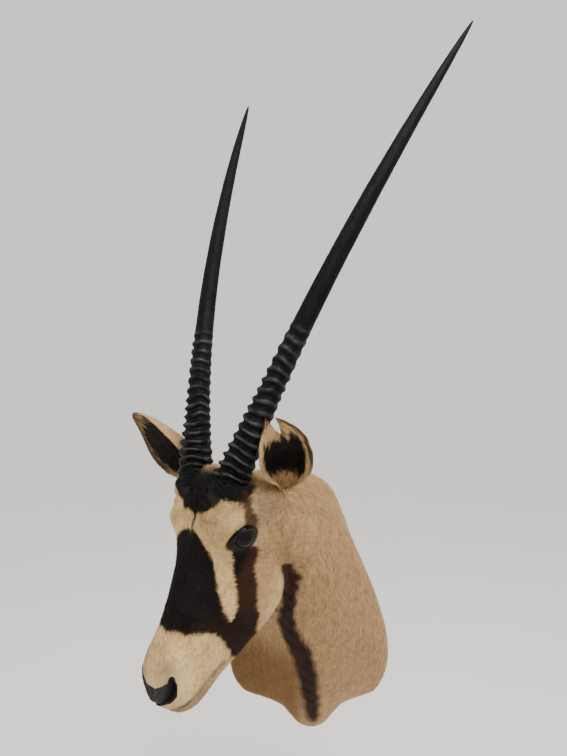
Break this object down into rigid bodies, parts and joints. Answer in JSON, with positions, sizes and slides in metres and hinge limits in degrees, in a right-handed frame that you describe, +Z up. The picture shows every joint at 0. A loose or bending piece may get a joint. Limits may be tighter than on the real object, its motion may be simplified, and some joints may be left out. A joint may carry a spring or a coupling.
{
  "type": "gemsbok shoulder mount",
  "caption": "Wall-hung taxidermy mount of a gemsbok's head, neck and shoulders, head turned to its right, with long ringed horns and glass eyes, on a board with a keyhole hanger.",
  "frame": {"origin": "middle of the backboard's rear face, on the wall", "axes": "+Y into the wall, +Z up, +X to the right of a viewer who faces the mount"},
  "size_m": [0.5508, 0.4796, 1.3007],
  "materials": {
    "fur": "tanned hide with short fur: grey-tan neck, black, brown and cream face",
    "horn": "charcoal horn, rough rings below and a dull sheen above",
    "eye": "polished dark brown glass",
    "board": "bare sawn board",
    "steel": "zinc plated"
  },
  "bodies": {
    "root": {"hide": "fur", "horn_left": "horn", "horn_right": "horn", "eye_left": "eye", "eye_right": "eye", "backboard": "board", "hanger": "steel", "hanger_screw_upper": "steel", "hanger_screw_lower": "steel"}
  },
  "joints": []
}
